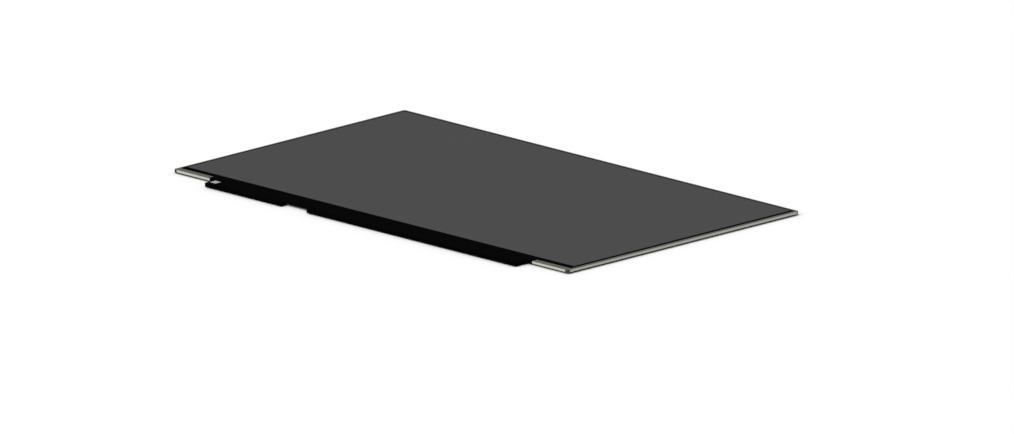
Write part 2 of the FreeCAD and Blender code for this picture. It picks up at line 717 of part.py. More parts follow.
def make_package(label):
    """A moulded package on the rear of the board, with bevelled outer edges."""
    package = new_body(label)
    place = f"{FLAP_LEFT} + {label}_place"
    outline = rectangle(f"{place} - {label}_long / 2", f"{place} + {label}_long / 2",
                        out(f"{label}_row + {label}_deep / 2"), out(f"{label}_row - {label}_deep / 2"))
    low = f"{BOARD_Z} - {label}_tall"
    pad(package, "outline", [outline], low, f"{label}_tall")
    level = value(low)
    blend(package, "bevel", "package_chamfer", lambda middle, direction: near(middle.z, level), "Chamfer")


def make_memory_leads():
    """Gull-wing leads along both long sides of the memory chip, bent up to the board."""
    leads = new_body("memory_leads")
    level = f"{BOARD_Z} - memory_chip_tall / 2 + lead_sheet / 2"
    heel = "lead_shoulder + lead_slant"
    wing = [
        ("0", level), ("lead_shoulder", level), (heel, BOARD_Z), (f"{heel} + lead_toe", BOARD_Z),
        (f"{heel} + lead_toe", f"{BOARD_Z} - lead_sheet"), (f"{heel} + lead_ease", f"{BOARD_Z} - lead_sheet"),
        ("lead_shoulder + lead_ease", f"{level} - lead_sheet"), ("0", f"{level} - lead_sheet"),
    ]
    start = f"{FLAP_LEFT} + memory_chip_place - (lead_row_count - 1) * lead_pitch / 2"
    rows = []
    for name, way in (("outer", "+"), ("inner", "-")):
        bent = [(out(f"memory_chip_row {way} (memory_chip_deep / 2 + {reach})"), height)
                for reach, height in wing]
        rows.append(pad(leads, name, [bent], start, "lead_width", role="YZ_Plane", symmetric=True))
    repeat(leads, rows, "lead_pitch", "lead_row_count")


def make_end_terminals(label, packages, outline, width):
    """A bent terminal at both ends of each package, given as distances out from the end and heights."""
    group = new_body(label)
    for package in packages:
        place = f"{FLAP_LEFT} + {package}_place"
        row = out(f"{package}_row")
        for name, way in (("left", "-"), ("right", "+")):
            bent = [(f"{place} {way} ({package}_long / 2 + {reach})", height) for reach, height in outline]
            pad(group, f"{package}_{name}", [bent], f"-({row})", width, role="XZ_Plane", symmetric=True)


def make_terminals():
    make_memory_leads()
    tab_low = f"{BOARD_Z} - diode_tab_rise"
    tab_inside = "diode_tab_reach - diode_tab_sheet"
    tab = [
        ("0", tab_low), ("diode_tab_reach", tab_low), ("diode_tab_reach", BOARD_Z), ("0", BOARD_Z),
        ("0", f"{BOARD_Z} - diode_tab_sheet"), (tab_inside, f"{BOARD_Z} - diode_tab_sheet"),
        (tab_inside, f"{tab_low} + diode_tab_sheet"), ("0", f"{tab_low} + diode_tab_sheet"),
    ]
    make_end_terminals("diode_tabs", ["lamp_diode"], tab, "diode_tab_width")
    clip_low = f"{BOARD_Z} - coil_clip_rise"
    clip = [
        ("0", clip_low), ("coil_clip_sheet", clip_low), ("coil_clip_sheet", f"{BOARD_Z} - coil_clip_sheet"),
        ("coil_clip_toe", f"{BOARD_Z} - coil_clip_sheet"), ("coil_clip_toe", BOARD_Z), ("0", BOARD_Z),
    ]
    make_end_terminals("coil_clips", ["supply_coil", "lamp_coil"], clip, "coil_clip_width")


def make_row(label, kind):
    """A row of like chip components, each with a metal cap at both ends."""
    group = new_body(label)
    place = f"{FLAP_LEFT} + {kind}_place"
    half = f"{kind}_long / 2"
    body = rectangle(f"{place} - {half}", f"{place} + {half}",
                     out(f"{kind}_row + {kind}_deep / 2"), out(f"{kind}_row - {kind}_deep / 2"))
    block = pad(group, "block", [body], f"{BOARD_Z} - {kind}_tall", f"{kind}_tall")
    wide_low = out(f"{kind}_row + {kind}_deep / 2 + capacitor_proud")
    wide_high = out(f"{kind}_row - {kind}_deep / 2 - capacitor_proud")
    caps = [rectangle(f"{place} - {half}", f"{place} - {half} + capacitor_cap", wide_low, wide_high),
            rectangle(f"{place} + {half} - capacitor_cap", f"{place} + {half}", wide_low, wide_high)]
    cap_height = f"{kind}_tall + capacitor_proud"
    ends = pad(group, "caps", caps, f"{BOARD_Z} - ({cap_height})", cap_height)
    repeat(group, [block, ends], f"{kind}_pitch", f"{kind}_count")


PACKAGES = ["timing_chip", "power_chip", "lamp_driver_chip", "memory_chip",
            "supply_coil", "lamp_coil", "lamp_diode"]


def make_all():
    make_rear_tray()
    make_mould_frame()
    make_backlight()
    make_lamp_strip()
    make_cell()
    make_drivers()
    make_driver_board()
    make_board_cover()
    make_ground_gasket()
    make_signal_socket()
    for label in PACKAGES:
        make_package(label)
    make_terminals()
    make_row("ceramic_capacitors", "capacitor")
    make_row("film_resistors", "resistor")
    DOC.recompute()


def check_all():
    for item in DOC.Objects:
        if "Invalid" in item.State or "Error" in item.State:
            raise ValueError(f"{item.Label} failed: {item.State}")
    for item in PARTS:
        if item.Shape.isNull() or not item.Shape.isValid():
            raise ValueError(f"{item.Label} has no valid shape")


def write_all():
    os.makedirs("parts", exist_ok=True)
    for item in PARTS:
        item.Shape.exportStep(os.path.join("parts", f"{item.Label}.step"))
        print(item.Label, len(item.Shape.Solids), round(item.Shape.Volume, 2))


make_all()
check_all()
write_all()
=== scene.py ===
import math

import bmesh
import bpy
from mathutils import Matrix, Vector


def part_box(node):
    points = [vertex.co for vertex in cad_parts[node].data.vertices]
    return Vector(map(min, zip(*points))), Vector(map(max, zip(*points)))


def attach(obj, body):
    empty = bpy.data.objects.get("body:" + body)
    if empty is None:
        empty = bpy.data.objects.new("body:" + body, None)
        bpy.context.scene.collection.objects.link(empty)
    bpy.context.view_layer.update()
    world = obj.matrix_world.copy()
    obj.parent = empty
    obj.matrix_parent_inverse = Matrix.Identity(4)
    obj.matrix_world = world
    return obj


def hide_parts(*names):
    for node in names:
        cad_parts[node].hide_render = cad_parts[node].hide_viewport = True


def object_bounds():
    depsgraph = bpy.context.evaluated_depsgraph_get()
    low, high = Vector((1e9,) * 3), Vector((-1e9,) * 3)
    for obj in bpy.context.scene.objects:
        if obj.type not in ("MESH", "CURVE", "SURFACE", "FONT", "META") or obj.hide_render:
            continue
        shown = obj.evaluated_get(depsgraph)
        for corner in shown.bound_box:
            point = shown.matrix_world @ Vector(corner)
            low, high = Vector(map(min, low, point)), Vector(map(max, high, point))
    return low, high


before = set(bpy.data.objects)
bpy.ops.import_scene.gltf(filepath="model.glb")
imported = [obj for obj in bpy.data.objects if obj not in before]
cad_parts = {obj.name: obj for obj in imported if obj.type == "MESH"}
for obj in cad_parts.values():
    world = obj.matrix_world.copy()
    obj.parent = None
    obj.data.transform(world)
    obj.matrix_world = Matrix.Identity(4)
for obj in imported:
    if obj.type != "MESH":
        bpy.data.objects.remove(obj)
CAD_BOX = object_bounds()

# Screen panel of a portable computer, lying face up on a pale table.
# X runs along the long side, Y from the board side to the head, Z out of the screen, in metres.
MM = 0.001

# The photograph's scale and viewing angle
PHOTO_WIDTH = 1014
PIXELS_PER_MM = 1.591
VIEW_TURN = math.radians(45)
VIEW_RISE = math.radians(14.87)
# How far the photograph's middle lies to the right of the middle of the panel's face, and below it
FRAME_RIGHT = 13.0 * MM
FRAME_DOWN = 17.35 * MM
CAMERA_BACK = 1.5

# Light: a soft key from the board side, and an even surround
KEY_FROM = Vector((0.1, -0.78, 0.62))
KEY_STRENGTH = 1.94
KEY_ANGLE = math.radians(50)
SURROUND = 0.62

# The table lies a little below the tray, so a thin line of shadow runs round the panel's foot
FLOOR_REACH = 12.0
FLOOR_DROP = 0.7 * MM

# Borders between two finishes of one piece
# Height of the dark rear lacquer; up the folded edge this band is painted shade at the foot
LACQUER_AND_SHADE_EDGE = 0.65 * MM
BLACK_BORDER = 0.6 * MM
BLACK_FOOT = 0.3 * MM
# A face whose normal rises by less than this counts as upright, and the frame's finish paints shade on it
PAINTED_SHADE_STEEP = 0.5

# Patterns of the finishes: a size that sets a texture's scale is in plain millimetres
CLOTH_THREAD = 0.5
CLOTH_RISE = 0.03 * MM
PRISM_RIDGE = 0.4
PRISM_RISE = 0.02 * MM
FILM_LINE_PITCH = 0.5 * MM
FILM_LINE_WIDTH = 0.25 * MM
TRACK_PITCH = 0.7 * MM
TRACK_WIDTH = 0.28 * MM
TRACK_RISE = 0.03 * MM
TRACK_BLOCK = 9.0
# Share of the board's blocks that have tracks
ROUTED_SHARE = 0.6
GUIDE_DOT_SPACING = 1.5
# Radius of a dot, as a share of the spacing
GUIDE_DOT_RADIUS = 0.28
# Depth of a fine grain, as a share of its width
GRAIN_DEPTH = 0.03
# A wave texture of scale 1 has this many bands in a metre
WAVE_TURNS = 20 / (2 * math.pi)

# Rows of small pieces that a finish follows
LAMP_WIDTH = 3.0 * MM
LAMP_PITCH = 7.2 * MM
LAMP_EDGE = 0.11 * MM
CAPACITOR_LENGTH = 1.6 * MM
CAPACITOR_PITCH = 4.5 * MM
RESISTOR_LENGTH = 1.0 * MM
RESISTOR_PITCH = 3.0 * MM
CHIP_CAP = 0.3 * MM

# Solder lands: how many each leadless package has along an end and along a side
LAND_COUNTS = {"timing_chip": (15, 18), "power_chip": (8, 8), "lamp_driver_chip": (6, 6)}
LAND_PITCH = 0.4 * MM
LAND_WIDTH = 0.2 * MM
# A solder fillet in millimetres: outwards from the package's side, and up to the board's rear face at 0
LAND_FILLET = [(0.0, 0.0), (0.0, -0.2), (0.1, -0.1), (0.3, -0.03), (0.3, 0.0)]

# Test points: a row at each end of the board, set in from the end and from the edge beside the tray
TEST_POINT_COUNT = 6
TEST_POINT_PITCH = 2.6 * MM
TEST_POINT_DIAMETER = 1.1 * MM
TEST_POINT_SEGMENTS = 16
TEST_POINT_RISE = 0.03 * MM
TEST_POINT_INSET = 14.0 * MM
TEST_POINT_ROW = 3.2 * MM

# Earthing pad: the higher the softness, the nearer to the rim its top stays flat
PAD_CUTS = 12
PAD_CROWN = 0.16 * MM
PAD_SOFTNESS = 6

# Sockets of the Mix node that hold colours
MIX_A, MIX_B, MIX_RESULT = 6, 7, 2


# What the finishes share

def linear(colour):
    """An sRGB hex colour as linear red, green, blue and alpha."""
    parts = [int(colour[start:start + 2], 16) / 255 for start in (1, 3, 5)]
    return (*[part / 12.92 if part <= 0.04045 else ((part + 0.055) / 1.055) ** 2.4 for part in parts], 1.0)


def add(tree, kind, settings=None, inputs=None):
    """A node with its settings, and each input either a plain value or a link from a socket."""
    made = tree.nodes.new(kind)
    for name, setting in (settings or {}).items():
        setattr(made, name, setting)
    for name, given in (inputs or {}).items():
        if isinstance(given, bpy.types.NodeSocket):
            tree.links.new(given, made.inputs[name])
        else:
            made.inputs[name].default_value = given
    return made


def per_mm(size):
    """The texture scale at which one cell of a pattern measures the given millimetres."""
    return 1 / (size * MM)


def new_material(name):
    """An empty node material and its tree."""
    made = bpy.data.materials.new(name)
    made.use_nodes = True
    made.node_tree.nodes.clear()
    return made, made.node_tree


def new_finish(name):
    """An empty material for the panel, its tree and the place on the piece."""
    made, tree = new_material(name)
    return made, tree, add(tree, "ShaderNodeTexCoord").outputs["Object"]


def drift(tree, place, first, second, patch):
    """A colour that wanders between two close tones, in patches of the given millimetres."""
    noise = add(tree, "ShaderNodeTexNoise", inputs={"Vector": place, "Scale": per_mm(patch), "Detail": 3.0})
    mixed = add(tree, "ShaderNodeMix", {"data_type": "RGBA"},
                {"Factor": noise.outputs["Fac"], MIX_A: linear(first), MIX_B: linear(second)})
    return mixed.outputs[MIX_RESULT]


def relief(tree, place, grain):
    """A fine random relief, with grains of the given millimetres."""
    noise = add(tree, "ShaderNodeTexNoise", inputs={"Vector": place, "Scale": per_mm(grain), "Detail": 2.0})
    bump = add(tree, "ShaderNodeBump",
               inputs={"Height": noise.outputs["Fac"], "Distance": grain * GRAIN_DEPTH * MM})
    return bump.outputs["Normal"]


def in_row(tree, along, first, pitch, width):
    """1 on each of a row of bands, whose first middle, pitch and width are given, and 0 between them."""
    moved = add(tree, "ShaderNodeMath", {"operation": "SUBTRACT"}, {0: along, 1: first})
    offset = add(tree, "ShaderNodeMath", {"operation": "WRAP"},
                 {0: moved.outputs[0], 1: pitch / 2, 2: -pitch / 2})
    return add(tree, "ShaderNodeMath", {"operation": "COMPARE"},
               {0: offset.outputs[0], 1: 0.0, 2: width / 2}).outputs[0]


def surface(tree, inputs):
    """The shader and the output that end a finish."""
    shader = add(tree, "ShaderNodeBsdfPrincipled", inputs=inputs)
    add(tree, "ShaderNodeOutputMaterial", inputs={"Surface": shader.outputs["BSDF"]})


# The finishes

def coated_steel_sheet():
    # Rolled steel with a thin pale grey resin coat: even and satin, with a warm tint and a faint cloud.
    # The rear has a dark insulating lacquer, and its band part of the way up the folded edge is painted
    # shade: a dark line at the panel's foot.
    made, tree, place = new_finish("coated_steel_sheet")
    along = add(tree, "ShaderNodeSeparateXYZ", inputs={"Vector": place}).outputs
    # Painted shade: the dark lacquer tones below this height, also on the folded edge.
    lacquer_and_painted_shade = add(tree, "ShaderNodeMath", {"operation": "LESS_THAN"}, {0: along["Z"], 1: LACQUER_AND_SHADE_EDGE})
    colour = add(tree, "ShaderNodeMix", {"data_type": "RGBA"},
                 {"Factor": lacquer_and_painted_shade.outputs[0],
                  MIX_A: drift(tree, place, "#BABAB1", "#BFBFB7", patch=6.0),
                  MIX_B: drift(tree, place, "#30312C", "#373833", patch=9.0)})
    surface(tree, {
        "Base Color": colour.outputs[MIX_RESULT],
        "Normal": relief(tree, place, grain=0.4),
        "Roughness": 0.5, "Specular IOR Level": 0.12,
    })
    return made


def moulded_polycarbonate():
    # Moulded polycarbonate of an olive grey: fine spark-eroded grain that takes the shine off.
    # The upright faces are a shade darker: painted shade, standing for the dark corners and sides of the
    # frame.
    made, tree, place = new_finish("moulded_polycarbonate")
    facing = add(tree, "ShaderNodeNewGeometry").outputs["Normal"]
    rise = add(tree, "ShaderNodeSeparateXYZ", inputs={"Vector": facing}).outputs["Z"]
    # Painted shade: the upright faces take the darker pair of tones.
    upright_painted_shade = add(tree, "ShaderNodeMath", {"operation": "LESS_THAN"}, {0: rise, 1: PAINTED_SHADE_STEEP})
    colour = add(tree, "ShaderNodeMix", {"data_type": "RGBA"},
                 {"Factor": upright_painted_shade.outputs[0],
                  MIX_A: drift(tree, place, "#5C5D53", "#63645A", patch=3.0),
                  MIX_B: drift(tree, place, "#383932", "#3C3D36", patch=3.0)})
    surface(tree, {
        "Base Color": colour.outputs[MIX_RESULT],
        "Normal": relief(tree, place, grain=0.3),
        "Roughness": 0.62, "Specular IOR Level": 0.03,
    })
    return made


def anti_glare_polariser():
    # Stretched film under an etched anti-glare coat: a flat dark grey that hardly mirrors anything.
    # The coat's grain of 0.03 mm is drawn at 0.3 mm so that it shows close up. The cell's printed border
    # shows through the film's edge as a black line.
    made, tree, place = new_finish("anti_glare_polariser")
    low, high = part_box("front_polariser")
    starts = (low.x + BLACK_BORDER, low.y + BLACK_FOOT)
    ends = (high.x - BLACK_BORDER, high.y - BLACK_BORDER)
    along = add(tree, "ShaderNodeSeparateXYZ", inputs={"Vector": place}).outputs
    spans = [add(tree, "ShaderNodeMath", {"operation": "COMPARE"},
                 {0: along[axis], 1: (start + end) / 2, 2: (end - start) / 2}).outputs[0]
             for axis, start, end in zip("XY", starts, ends)]
    picture = add(tree, "ShaderNodeMath", {"operation": "MULTIPLY"}, {0: spans[0], 1: spans[1]})
    colour = add(tree, "ShaderNodeMix", {"data_type": "RGBA"},
                 {"Factor": picture.outputs[0], MIX_A: linear("#0C0C0D"),
                  MIX_B: drift(tree, place, "#4B4B4B", "#4D4D4D", patch=40.0)})
    surface(tree, {
        "Base Color": colour.outputs[MIX_RESULT],
        "Normal": relief(tree, place, grain=0.3),
        "Roughness": 0.75, "Specular IOR Level": 0.002,
    })
    return made


def black_matrix_glass():
    # Thin sheet glass with black resist printed on its inner face: looks black right to the edge.
    made, tree, place = new_finish("black_matrix_glass")
    surface(tree, {
        "Base Color": drift(tree, place, "#040405", "#070708", patch=12.0),
        "Roughness": 0.3, "Specular IOR Level": 0.001,
    })
    return made


def conductive_cloth():
    # Nickel-plated nylon cloth over foam: a grey metallic weave. The real threads are 0.1 mm apart
    # and are drawn at 0.5 mm so that they show.
    made, tree, place = new_finish("conductive_cloth")
    threads = [add(tree, "ShaderNodeTexWave", {"bands_direction": way},
                   {"Vector": place, "Scale": per_mm(CLOTH_THREAD) / WAVE_TURNS}).outputs["Fac"]
               for way in "XY"]
    weave = add(tree, "ShaderNodeMath", {"operation": "MAXIMUM"}, {0: threads[0], 1: threads[1]}).outputs[0]
    colour = add(tree, "ShaderNodeMix", {"data_type": "RGBA"},
                 {"Factor": weave, MIX_A: linear("#77777A"), MIX_B: linear("#A9A9AB")})
    bump = add(tree, "ShaderNodeBump", inputs={"Height": weave, "Distance": CLOTH_RISE})
    surface(tree, {
        "Base Color": colour.outputs[MIX_RESULT],
        "Normal": bump.outputs["Normal"],
        "Metallic": 0.35, "Roughness": 0.5,
    })
    return made


def printed_acrylic():
    # Clear cast acrylic with a print of small white dots below, which throw the lamps' light upwards.
    made, tree, place = new_finish("printed_acrylic")
    dots = add(tree, "ShaderNodeTexVoronoi", inputs={"Vector": place, "Scale": per_mm(GUIDE_DOT_SPACING)})
    dot = add(tree, "ShaderNodeMath", {"operation": "LESS_THAN"},
              {0: dots.outputs["Distance"], 1: GUIDE_DOT_RADIUS}).outputs[0]
    colour = add(tree, "ShaderNodeMix", {"data_type": "RGBA"},
                 {"Factor": dot, MIX_A: linear("#E8F2F0"), MIX_B: linear("#FFFFFF")})
    clear = add(tree, "ShaderNodeMath", {"operation": "SUBTRACT"}, {0: 1.0, 1: dot})
    surface(tree, {
        "Base Color": colour.outputs[MIX_RESULT],
        "Transmission Weight": clear.outputs[0],
        "Roughness": 0.08, "IOR": 1.49,
    })
    return made


def prism_film():
    # Clear film cast with fine ridges: silvery lines along the film. The real ridges are 0.05 mm apart
    # and are drawn at 0.4 mm so that they show.
    made, tree, place = new_finish("prism_film")
    ridges = add(tree, "ShaderNodeTexWave", {"bands_direction": "Y", "wave_profile": "TRI"},
                 {"Vector": place, "Scale": per_mm(PRISM_RIDGE) / WAVE_TURNS}).outputs["Fac"]
    colour = add(tree, "ShaderNodeMix", {"data_type": "RGBA"},
                 {"Factor": ridges, MIX_A: linear("#C9CDD0"), MIX_B: linear("#E4E7E9")})
    bump = add(tree, "ShaderNodeBump", inputs={"Height": ridges, "Distance": PRISM_RISE})
    surface(tree, {
        "Base Color": colour.outputs[MIX_RESULT],
        "Normal": bump.outputs["Normal"],
        "Transmission Weight": 0.5, "Roughness": 0.25, "IOR": 1.56,
    })
    return made


def lamp_resin():
    # White moulded lamp cases, each with a yellow phosphor gel in its window.
    made, tree, place = new_finish("lamp_resin")
    low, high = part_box("lamps")
    along = add(tree, "ShaderNodeSeparateXYZ", inputs={"Vector": place}).outputs
    across = in_row(tree, along["X"], low.x + LAMP_WIDTH / 2, LAMP_PITCH, LAMP_WIDTH - 2 * LAMP_EDGE)
    tall = add(tree, "ShaderNodeMath", {"operation": "COMPARE"},
               {0: along["Z"], 1: (low.z + high.z) / 2, 2: (high.z - low.z) / 2 - LAMP_EDGE})
    gel = add(tree, "ShaderNodeMath", {"operation": "MULTIPLY"}, {0: across, 1: tall.outputs[0]})
    colour = add(tree, "ShaderNodeMix", {"data_type": "RGBA"},
                 {"Factor": gel.outputs[0], MIX_A: linear("#EDEDE8"), MIX_B: linear("#E3C23A")})
    surface(tree, {
        "Base Color": colour.outputs[MIX_RESULT],
        "Roughness": 0.4, "Specular IOR Level": 0.3,
    })
    return made


def copper_on_polyimide():
    # Thin amber film with etched copper lines that run from the glass to the board.
    # The real lines are 0.04 mm apart and are drawn at 0.5 mm so that they show.
    made, tree, place = new_finish("copper_on_polyimide")
    along = add(tree, "ShaderNodeSeparateXYZ", inputs={"Vector": place}).outputs
    line = in_row(tree, along["X"], 0.0, FILM_LINE_PITCH, FILM_LINE_WIDTH)
    colour = add(tree, "ShaderNodeMix", {"data_type": "RGBA"},
                 {"Factor": line, MIX_A: linear("#6B4A1E"), MIX_B: linear("#A8682F")})
    surface(tree, {
        "Base Color": colour.outputs[MIX_RESULT],
        "Metallic": line,
        "Roughness": 0.35,
    })
    return made


def green_solder_mask():
    # Green lacquer over copper tracks: glossy, with paler raised lines where a track lies under it.
    # The real tracks are 0.25 mm apart and are drawn at 0.7 mm so that they show.
    made, tree, place = new_finish("green_solder_mask")
    along = add(tree, "ShaderNodeSeparateXYZ", inputs={"Vector": place}).outputs
    track = in_row(tree, along["Y"], 0.0, TRACK_PITCH, TRACK_WIDTH)
    blocks = add(tree, "ShaderNodeTexVoronoi", {"distance": "CHEBYCHEV"},
                 {"Vector": place, "Scale": per_mm(TRACK_BLOCK)})
    pick = add(tree, "ShaderNodeSeparateXYZ", inputs={"Vector": blocks.outputs["Color"]}).outputs["X"]
    routed = add(tree, "ShaderNodeMath", {"operation": "LESS_THAN"}, {0: pick, 1: ROUTED_SHARE})
    lines = add(tree, "ShaderNodeMath", {"operation": "MULTIPLY"},
                {0: track, 1: routed.outputs[0]}).outputs[0]
    colour = add(tree, "ShaderNodeMix", {"data_type": "RGBA"},
                 {"Factor": lines, MIX_A: linear("#1B4A2E"), MIX_B: linear("#2F6B45")})
    bump = add(tree, "ShaderNodeBump", inputs={"Height": lines, "Distance": TRACK_RISE})
    surface(tree, {
        "Base Color": colour.outputs[MIX_RESULT],
        "Normal": bump.outputs["Normal"],
        "Roughness": 0.3, "Specular IOR Level": 0.4,
    })
    return made


def capped_ceramic(name, node, pitch, length, first, second):
    """A row of small ceramic blocks of a colour between two tones, with a tinned cap at both ends."""
    made, tree, place = new_finish(name)
    along = add(tree, "ShaderNodeSeparateXYZ", inputs={"Vector": place}).outputs
    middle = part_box(node)[0].x + length / 2
    ceramic = in_row(tree, along["X"], middle, pitch, length - 2 * CHIP_CAP)
    colour = add(tree, "ShaderNodeMix", {"data_type": "RGBA"},
                 {"Factor": ceramic, MIX_A: linear("#C9CACB"),
                  MIX_B: drift(tree, place, first, second, patch=0.5)})
    tin = add(tree, "ShaderNodeMath", {"operation": "SUBTRACT"}, {0: 1.0, 1: ceramic})
    surface(tree, {
        "Base Color": colour.outputs[MIX_RESULT],
        "Normal": relief(tree, place, grain=0.1),
        "Metallic": tin.outputs[0],
        "Roughness": 0.38,
    })
    return made


def even_finish(name, first, second, patch, grain, roughness, level=0.3, metallic=0.0):
    """A finish with only a slight drift of colour, a fine grain and its own shine."""
    made, tree, place = new_finish(name)
    surface(tree, {
        "Base Color": drift(tree, place, first, second, patch),
        "Normal": relief(tree, place, grain),
        "Roughness": roughness, "Specular IOR Level": level, "Metallic": metallic,
    })
    return made


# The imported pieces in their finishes

def dress(material, *names):
    """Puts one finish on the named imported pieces."""
    for name in names:
        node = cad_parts[name]
        node.data.materials.clear()
        node.data.materials.append(material)


def dress_case():
    dress(coated_steel_sheet(), "rear_tray")
    dress(moulded_polycarbonate(), "mould_frame")
    # Matt black polyester film, die cut and creased to shape: deep black with a faint fine grain.
    dress(even_finish("black_polyester_film", "#030303", "#070707", patch=2.0, grain=0.25,
                      roughness=0.7, level=0.0006),
          "board_cover")


def dress_cell():
    dress(anti_glare_polariser(), "front_polariser", "rear_polariser")
    dress(black_matrix_glass(), "filter_glass", "array_glass")
    # Black tape with a soft adhesive on both faces: dull and slightly uneven.
    dress(even_finish("black_adhesive_tape", "#0B0B0B", "#131313", patch=1.5, grain=0.5,
                      roughness=0.8, level=0.1),
          "cell_tape")


def dress_backlight():
    # Foamed white polyester: bright, matt and even.
    dress(even_finish("white_polyester_film", "#EFEFEA", "#F6F6F2", patch=8.0, grain=0.3, roughness=0.6),
          "reflector_film")
    # Frosted polyester: milky white from the beads in its coat.
    dress(even_finish("frosted_polyester_film", "#DDE0E0", "#E8EAEA", patch=4.0, grain=0.3, roughness=0.7),
          "lower_diffuser_film", "upper_diffuser_film")
    dress(prism_film(), "lower_prism_film", "upper_prism_film")
    dress(printed_acrylic(), "light_guide")
    # White lacquer on a flexible strip: slightly creamy, satin.
    dress(even_finish("white_lacquered_flex", "#E6E2D3", "#EEEADC", patch=3.0, grain=0.4, roughness=0.45),
          "lamp_flex")
    dress(lamp_resin(), "lamps")


def dress_drivers():
    dress(copper_on_polyimide(), *[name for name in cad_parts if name.startswith("driver_film")])
    # Bare ground silicon: dark blue grey with a dull mirror shine.
    dress(even_finish("ground_silicon", "#3A3D46", "#444852", patch=2.0, grain=0.05,
                      roughness=0.28, level=0.5, metallic=0.6),
          *[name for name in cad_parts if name.startswith("driver_chip")])
    dress(green_solder_mask(), "driver_board")


def dress_socket():
    # Glass-filled liquid-crystal polymer: black, dull, with faint flow marks.
    dress(even_finish("black_connector_polymer", "#0D0D0E", "#151516", patch=1.2, grain=0.15,
                      roughness=0.6, level=0.02),
          "socket_housing")
    # Tinned spring steel, folded: grey, with a soft metal shine.
    dress(even_finish("tinned_spring_steel", "#8E8F90", "#9C9D9E", patch=2.5, grain=0.12,
                      roughness=0.38, level=0.5, metallic=1.0),
          "socket_shell")
    # Gold flash over nickel: warm and bright.
    dress(even_finish("gold_flash", "#D9B45A", "#E2C06B", patch=0.4, grain=0.05,
                      roughness=0.25, level=0.5, metallic=1.0),
          "socket_contacts")


def dress_packages():
    # Tinned copper alloy, stamped and bent: silvery, a little grainy.
    dress(even_finish("tinned_copper_alloy", "#BDBEC0", "#CBCCCE", patch=0.3, grain=0.1,
                      roughness=0.34, level=0.5, metallic=1.0),
          "memory_leads", "diode_tabs", "coil_clips")
    # Moulded epoxy with a fine sand: near black and matt.
    dress(even_finish("moulded_black_epoxy", "#17171A", "#1F1F22", patch=0.6, grain=0.1, roughness=0.65),
          "timing_chip", "power_chip", "lamp_driver_chip", "memory_chip", "lamp_diode")
    # Sintered ferrite: dark grey and slightly grainy.
    dress(even_finish("sintered_ferrite", "#35363A", "#43444A", patch=0.3, grain=0.15, roughness=0.6),
          "supply_coil", "lamp_coil")
    # Fired ceramic: a dull tan between bright tinned ends.
    dress(capped_ceramic("barium_titanate_ceramic", "ceramic_capacitors", CAPACITOR_PITCH, CAPACITOR_LENGTH,
                         "#93785A", "#A1866A"),
          "ceramic_capacitors")
    # Ceramic under a dark glaze: near black between bright tinned ends.
    dress(capped_ceramic("glazed_resistor_ceramic", "film_resistors", RESISTOR_PITCH, RESISTOR_LENGTH,
                         "#1B1B1D", "#242427"),
          "film_resistors")


# New pieces

def new_object(name, mesh, material):
    """A finished mesh as an object of the scene."""
    data = bpy.data.meshes.new(name)
    mesh.to_mesh(data)
    mesh.free()
    data.materials.append(material)
    made = bpy.data.objects.new(name, data)
    bpy.context.scene.collection.objects.link(made)
    return made


def add_piece(name, mesh, material):
    """A finished mesh as a piece of the panel, which has one body only."""
    bmesh.ops.recalc_face_normals(mesh, faces=mesh.faces)
    made = new_object(name, mesh, material)
    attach(made, "root")
    return made


def lay_earthing_pad():
    """Cloth over foam in the cover's window: a low cushion whose top falls away to its rim."""
    low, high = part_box("ground_gasket")
    middle = (low + high) / 2
    half = (high.x - low.x) / 2
    mesh = bmesh.new()
    bmesh.ops.create_grid(mesh, x_segments=PAD_CUTS, y_segments=PAD_CUTS, size=half,
                          matrix=Matrix.Translation((middle.x, middle.y, high.z)))
    for corner in mesh.verts:
        reach = max(abs(corner.co.x - middle.x), abs(corner.co.y - middle.y)) / half
        corner.co.z -= PAD_CROWN * reach ** PAD_SOFTNESS
    rim = [edge for edge in mesh.edges if edge.is_boundary]
    skirt = bmesh.ops.extrude_edge_only(mesh, edges=rim)["geom"]
    for item in skirt:
        if isinstance(item, bmesh.types.BMVert):
            item.co.z = low.z
    hem = [item for item in skirt if isinstance(item, bmesh.types.BMEdge) and item.is_boundary]
    bmesh.ops.contextual_create(mesh, geom=hem)
    pad = add_piece("earthing_pad", mesh, conductive_cloth())
    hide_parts("ground_gasket")


def drawn_out(mesh, outline, width, place):
    """A flat outline across local X and Z, drawn out along local Y and put in its place."""
    near = [mesh.verts.new((across * MM, -width / 2, up * MM)) for across, up in outline]
    face = mesh.faces.new(near)
    geometry = bmesh.ops.extrude_face_region(mesh, geom=[face])["geom"]
    far = [item for item in geometry if isinstance(item, bmesh.types.BMVert)]
    bmesh.ops.translate(mesh, verts=far, vec=(0, width, 0))
    bmesh.ops.transform(mesh, matrix=place, verts=near + far)


def solder_lands():
    """Solder fillets round the leadless packages, where their lands meet the rear of the board."""
    mesh = bmesh.new()
    for node, counts in LAND_COUNTS.items():
        low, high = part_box(node)
        middle = Matrix.Translation(((low.x + high.x) / 2, (low.y + high.y) / 2, high.z))
        halves = ((high.x - low.x) / 2, (high.y - low.y) / 2)
        for quarter in range(4):
            turn = Matrix.Rotation(quarter * math.pi / 2, 4, "Z")
            count = counts[quarter % 2]
            for number in range(count):
                along = (number - (count - 1) / 2) * LAND_PITCH
                edge = Matrix.Translation((halves[quarter % 2], along, 0))
                drawn_out(mesh, LAND_FILLET, LAND_WIDTH, middle @ turn @ edge)
    # Bright solder: silvery, a little grainy.
    solder = even_finish("bright_solder", "#BDBEC0", "#CBCCCE", patch=0.3, grain=0.1,
                         roughness=0.34, level=0.5, metallic=1.0)
    add_piece("chip_solder_lands", mesh, solder)


